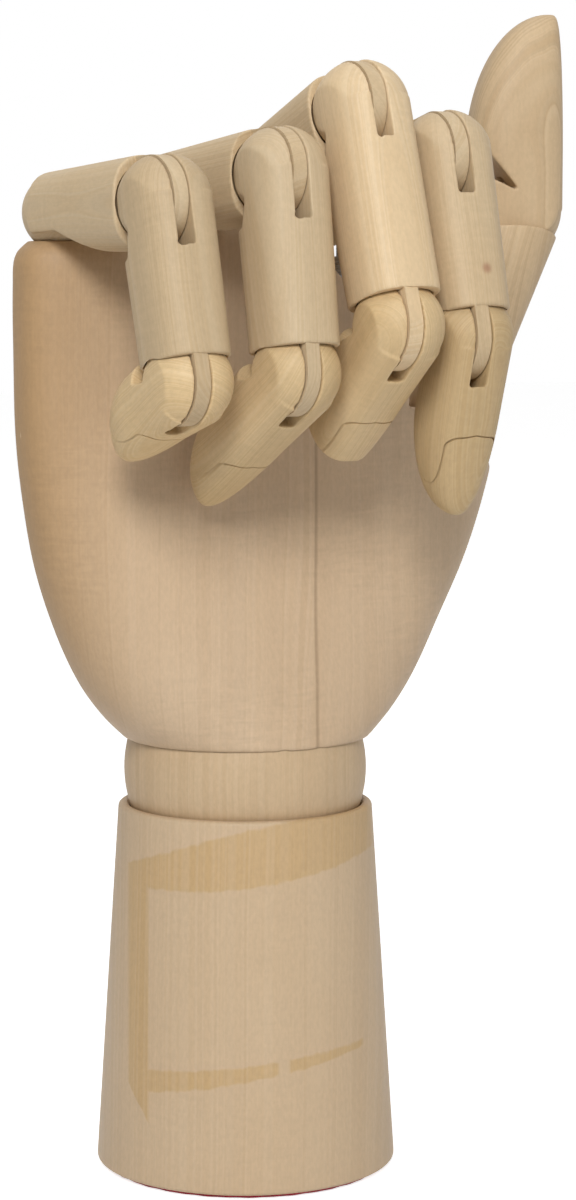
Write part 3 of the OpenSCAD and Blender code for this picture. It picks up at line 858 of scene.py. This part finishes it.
def stain_group():
    """Angular stain on the base's front: a broad band, a column on the left, a thin band"""
    tree, w, given, made = new_group(
        "stain", [("Place", "NodeSocketVector", None)], [("Stain", "NodeSocketFloat")]
    )
    place = given["Place"]
    across = w.add("VectorMath", {0: place, 1: VIEW_RIGHT}, operation="DOT_PRODUCT").outputs[1]
    away = w.add("VectorMath", {0: place, 1: VIEW_AWAY}, operation="DOT_PRODUCT").outputs[1]
    fray = w.noise(w.scaled(place, (0.5, 0.5, 0.5)), detail=3.0)
    height = w.add("SeparateXYZ", {0: place}).outputs["Z"]
    height = w.math("ADD", height, w.math("MULTIPLY", w.math("SUBTRACT", fray, 0.5), 1.4))
    square = w.math("MULTIPLY", across, across)

    def line(level, slope, bow):
        sloped = w.math("MULTIPLY_ADD", across, slope, level)
        return w.math("MULTIPLY_ADD", square, bow, sloped)

    def above(level):
        return w.step(w.math("SUBTRACT", height, level), -0.35, 0.35)

    def below(level):
        return w.step(w.math("SUBTRACT", level, height), -0.35, 0.35)

    def within(low, high, soft=0.4):
        return w.math(
            "MULTIPLY", w.step(across, low - soft, low + soft),
            w.step(across, high - soft, high + soft, 1.0, 0.0),
        )

    top = line(71.4, 0.235, -0.0055)
    band = w.math("MULTIPLY", above(line(60.4, 0.12, 0.003)), below(top))
    band = w.math("MULTIPLY", band, within(-23, 29))
    column = w.math("MULTIPLY", within(-23, -19), above(line(-19, -1.7, 0)))
    column = w.math("MULTIPLY", column, below(top))
    thin = line(24.4, 0.15, 0)
    half = w.math("MULTIPLY_ADD", across, -0.035, 1.5)
    thin_band = w.math(
        "MULTIPLY", above(w.math("SUBTRACT", thin, half)), below(w.math("ADD", thin, half))
    )
    gap = within(6.4, 8.6)
    thin_band = w.math("MULTIPLY", thin_band, w.math("SUBTRACT", 1.0, gap))
    thin_band = w.math("MULTIPLY", thin_band, within(-20, 23))
    whole = w.math("MAXIMUM", band, w.math("MAXIMUM", column, thin_band))
    whole = w.math("MULTIPLY", whole, w.step(away, -8, -2, 1.0, 0.0))
    tree.links.new(whole, made["Stain"])
    return tree


def new_material(name):
    material = bpy.data.materials.new(name)
    material.use_nodes = True
    tree = material.node_tree
    return material, Wiring(tree), tree.nodes["Principled BSDF"]


def wood(name, pale, tan, line, gap=5.0, wobble=2.0, lines=0.35, ripple=0.5, tone_and_light=1.0,
         seam=None, stain=None, knot=None):
    """Satin basswood: pale between the bands, tan in them, with thin growth lines"""
    material, w, shader = new_material(name)
    grain = w.add("Attribute", attribute_name="grain", attribute_type="GEOMETRY").outputs["Vector"]
    figure = w.add("Group", node_tree=bpy.data.node_groups["growth"])
    w.tree.links.new(grain, figure.inputs["Grain"])
    figure.inputs["Ring gap"].default_value = gap
    figure.inputs["Wobble"].default_value = wobble
    made = figure.outputs
    share = w.math("MULTIPLY_ADD", made["Cloud"], 0.45, w.math("MULTIPLY", made["Bands"], 0.55))
    colour = w.mix(share, tint(*pale), tint(*tan))
    colour = w.mix(w.math("MULTIPLY", made["Lines"], lines), colour, tint(*line))
    place = w.add("TexCoord").outputs["Object"]
    place = w.scaled(place, (1 / MM, 1 / MM, 1 / MM))
    if seam is not None:
        across = w.add("VectorMath", {0: place, 1: VIEW_RIGHT}, operation="DOT_PRODUCT").outputs[1]
        bend = w.noise(w.scaled(place, (0.02, 0.02, 0.03)))
        across = w.math("ADD", across, w.math("MULTIPLY", w.math("SUBTRACT", bend, 0.5), 1.2))
        away = w.math("ABSOLUTE", w.math("SUBTRACT", across, seam))
        thread = w.step(away, 0.05, 0.55, 0.6, 0.0)
        colour = w.mix(thread, colour, tint(*GLUE_LINE))
        right_side = w.step(across, seam - 0.3, seam + 0.3)
        colour = w.mix(w.math("MULTIPLY", right_side, 0.35), colour, tint(*tan))
        # Painted shade: darker towards the palm's little finger side, measured along the view's
        # right direction
        colour = w.mix(w.step(across, *PALM_EDGE_SHADE_FADE), colour, tint(*PALM_EDGE_SHADE))
    if stain is not None:
        mask = w.add("Group", {"Place": place}, node_tree=bpy.data.node_groups["stain"])
        strength = w.math("MULTIPLY_ADD", made["Bands"], 0.25, 0.5)
        colour = w.mix(w.math("MULTIPLY", mask.outputs["Stain"], strength), colour, tint(*stain))
    if knot is not None:
        distance = w.add("VectorMath", {0: place, 1: knot}, operation="DISTANCE").outputs["Value"]
        colour = w.mix(w.step(distance, 0.2, 1.5, 0.6, 0.0), colour, tint(*KNOT))
    shade = w.math("MULTIPLY_ADD", made["Fibre"], 0.035, 0.95)
    shade = w.math("MULTIPLY_ADD", made["Fleck"], 0.065, shade)
    shade = w.math("MULTIPLY_ADD", w.math("SUBTRACT", made["Ripple"], 0.5), ripple, shade)
    # Brightness of the whole piece: partly the wood's own colour, partly painted light and shade
    # standing in for how the lamps fall on it
    shade = w.math("MULTIPLY", shade, tone_and_light)
    grey = w.add("CombineColor", {0: shade, 1: shade, 2: shade}).outputs[0]
    colour = w.mix(1.0, colour, grey, "MULTIPLY")
    w.tree.links.new(colour, shader.inputs["Base Color"])
    rough = w.math("MULTIPLY_ADD", made["Fibre"], 0.12, 0.5)
    w.tree.links.new(rough, shader.inputs["Roughness"])
    shader.inputs["Specular IOR Level"].default_value = 0.35
    relief_height = w.math("MULTIPLY_ADD", made["Fleck"], 0.6, made["Fibre"])
    bump = w.add("Bump", {"Height": relief_height, "Strength": 0.12, "Distance": 0.0001})
    w.tree.links.new(bump.outputs["Normal"], shader.inputs["Normal"])
    return material


def red_felt():
    material, w, shader = new_material("red_felt")
    place = w.add("TexCoord").outputs["Object"]
    tuft = w.noise(place, scale=2500, detail=4.0)
    colour = w.mix(w.step(tuft, 0.3, 0.7), tint(150, 24, 44), tint(196, 50, 70))
    w.tree.links.new(colour, shader.inputs["Base Color"])
    shader.inputs["Roughness"].default_value = 0.95
    shader.inputs["Sheen Weight"].default_value = 0.4
    bump = w.add("Bump", {"Height": tuft, "Strength": 0.6, "Distance": 0.0003})
    w.tree.links.new(bump.outputs["Normal"], shader.inputs["Normal"])
    return material


def steel(name, colour, stretch):
    """Drawn steel, its fine marks stretched along the part"""
    material, w, shader = new_material(name)
    place = w.scaled(w.add("TexCoord").outputs["Object"], stretch)
    marks = w.noise(place, scale=1.0, detail=3.0)
    w.tree.links.new(
        w.mix(w.step(marks, 0.3, 0.7), tint(*colour), tint(*(0.82 * c for c in colour))),
        shader.inputs["Base Color"],
    )
    w.tree.links.new(w.math("MULTIPLY_ADD", marks, 0.2, 0.22), shader.inputs["Roughness"])
    shader.inputs["Metallic"].default_value = 1.0
    return material


# Scene

def camera():
    data = bpy.data.cameras.new("camera")
    data.sensor_width = 36
    data.lens = CAMERA_LENS
    data.clip_start = 0.01
    made = bpy.data.objects.new("camera", data)
    made.location = CAMERA_AT
    made.rotation_euler = (math.radians(90 - CAMERA_PITCH), 0, math.radians(CAMERA_TURN))
    bpy.context.scene.collection.objects.link(made)
    bpy.context.scene.camera = made


def lamp(name, place, target, size, power):
    data = bpy.data.lights.new(name, "AREA")
    data.shape = "DISK"
    data.size = size
    data.energy = power
    made = bpy.data.objects.new(name, data)
    made.location = place
    made.rotation_euler = (Vector(target) - Vector(place)).to_track_quat("-Z", "Y").to_euler()
    bpy.context.scene.collection.objects.link(made)


def seen_directly(w):
    """1 for rays that a camera, a mirror or glass sends, which see the white background"""
    rays = w.add("LightPath").outputs
    seen = w.math("MAXIMUM", rays["Is Camera Ray"], rays["Is Glossy Ray"])
    return w.math("MAXIMUM", seen, rays["Is Transmission Ray"])


def studio():
    world = bpy.data.worlds.new("studio")
    bpy.context.scene.world = world
    world.use_nodes = True
    w = Wiring(world.node_tree)
    strength = w.step(seen_directly(w), 0, 1, WORLD_LEVEL, 1.0)
    background = world.node_tree.nodes["Background"]
    background.inputs["Color"].default_value = (1, 1, 1, 1)
    world.node_tree.links.new(strength, background.inputs["Strength"])
    for name, place, size, power in LAMPS:
        lamp(name, place, LAMPS_AIM, size, power)
    deselect()
    bpy.ops.mesh.primitive_plane_add(size=8, location=(0, 0, -0.0002))
    floor = bpy.context.object
    floor.name = "floor"
    material, w, shader = new_material("pale_floor")
    shader.inputs["Base Color"].default_value = FLOOR_COLOUR
    shader.inputs["Roughness"].default_value = 0.9
    shader.inputs["Specular IOR Level"].default_value = 0.1
    glow = w.add("Emission", {"Color": (1, 1, 1, 1)})
    w.tree.links.new(w.math("MULTIPLY", seen_directly(w), FLOOR_GLOW), glow.inputs["Strength"])
    both = w.add("AddShader", {0: shader.outputs[0], 1: glow.outputs[0]})
    w.tree.links.new(both.outputs[0], w.tree.nodes["Material Output"].inputs["Surface"])
    floor.data.materials.append(material)
    bpy.context.scene.view_settings.view_transform = "Standard"


camera()
studio()

growth_group()
stain_group()
PALM_WOOD = wood("palm_wood", (203, 178, 148), (198, 171, 139), (150, 118, 84),
                 gap=7.5, wobble=2.5, lines=0.07, ripple=0.22, seam=GLUE_LINE_AT)
BASE_WOOD = wood("base_wood", (202, 178, 147), (197, 171, 138), (160, 130, 96),
                 gap=9.0, wobble=1.0, lines=0.07, ripple=0.1, stain=(190, 157, 108))
BALL_WOOD = wood("ball_wood", (199, 174, 140), (194, 166, 131), (156, 126, 92),
                 gap=6.0, wobble=1.0, lines=0.1, ripple=0.1)
FIRST_WOOD = wood("first_wood", (204, 183, 150), (197, 172, 135), (160, 132, 96),
                  gap=3.6, lines=0.12, ripple=0.14)
# Each finger's second and end pieces get their own copy of the wood, made lighter or darker:
# partly their own colour, partly painted light and shade
SECOND_WOODS = [
    wood(finger + "_second_wood", (208, 186, 152), (200, 174, 136), (176, 148, 110),
         gap=3.2, lines=0.12, ripple=0.14, tone_and_light=tone_and_light, knot=knot)
    for finger, tone_and_light, knot in zip(FINGERS, SECOND_TONE_AND_LIGHT, (None, None, None, KNOT_AT))
]
END_WOODS = [
    wood(finger + "_end_wood", (201, 177, 138), (190, 162, 118), (160, 130, 88),
         gap=2.8, lines=0.17, ripple=0.12, tone_and_light=tone_and_light)
    for finger, tone_and_light in zip(FINGERS, END_TONE_AND_LIGHT)
]
THUMB_WOOD = wood("thumb_wood", (202, 178, 143), (194, 166, 129), (160, 130, 94),
                  gap=3.0, wobble=3.0, lines=0.28, ripple=0.12)
RED_FELT = red_felt()
SPRING_STEEL = steel("spring_steel", (196, 198, 202), (900, 900, 4000))
PIN_STEEL = steel("pin_steel", (206, 207, 210), (300, 3000, 3000))

LOG_SIDE = BIG_LOG_R * VIEW_RIGHT
hang(turned_base(), "turned_base", IN_PLACE, "base", BASE_WOOD, LOG_SIDE, ["base"])
hang(felt_disc(), "felt_disc", IN_PLACE, "base", RED_FELT, (0, 0, 0), ["felt_pad"])
hang(turned_ball(), "turned_ball", IN_PLACE, "wrist_ball", BALL_WOOD, LOG_SIDE,
     ["wrist_ball"])
hang(carved_palm(), "carved_palm", IN_PLACE, "palm", PALM_WOOD, LOG_SIDE, ["palm"])

for i, finger in enumerate(FINGERS):
    knuckle = point(finger + "_knuckle")
    second = point(finger + "_second")
    third = point(finger + "_third")
    hinge = hinge_axis(finger + "_second")
    first_length = (second - knuckle).length
    second_length = (third - second).length
    bend = Matrix.Rotation(math.radians(THIRD_BEND[i]), 3, hinge)
    end_way = bend @ (third - second)
    turns = [LOG_TURN * i + k for k in (0, 1, 2)]
    piths = [
        (LOG_R * math.cos(turn), LOG_R * math.sin(turn), FINGER_STEP * i + PIECE_STEP * k)
        for k, turn in enumerate(turns)
    ]
    hang(first_phalanx(i, first_length), finger + "_first",
         local_frame(knuckle, hinge, second - knuckle), finger + "_proximal",
         FIRST_WOOD, piths[0], [finger + "_proximal"])
    hang(second_phalanx(i, second_length), finger + "_second",
         local_frame(second, hinge, third - second), finger + "_middle",
         SECOND_WOODS[i], piths[1], [finger + "_middle"])
    hang(end_phalanx(i), finger + "_end", local_frame(third, hinge, end_way), finger + "_tip",
         END_WOODS[i], piths[2], [finger + "_tip"])

root = point("thumb_swing")
thumb_joint = point("thumb_joint")
lower_frame = local_frame(root, Vector((0, 1, 0)).cross(thumb_joint - root), thumb_joint - root)
upper_frame = local_frame(thumb_joint, hinge_axis("thumb_joint"), Vector((0, 0, 1)))
hang(thumb_lower((thumb_joint - root).length, upper_frame, lower_frame), "thumb_lower",
     lower_frame, "thumb_base", THUMB_WOOD, THUMB_LOWER_PITH, ["thumb_base"])
hang(thumb_upper(), "thumb_upper", upper_frame, "thumb_tip", THUMB_WOOD,
     THUMB_UPPER_PITH, ["thumb_tip"])

for name, part in frame["nodes"].items():
    if part.hide_render:
        continue
    if "spring" in name:
        finish = SPRING_STEEL
    elif name == "anchor_plug":
        finish = BALL_WOOD
    else:
        finish = PIN_STEEL
    for k in range(max(1, len(part.data.materials))):
        if part.data.materials:
            part.data.materials[k] = finish
        else:
            part.data.materials.append(finish)
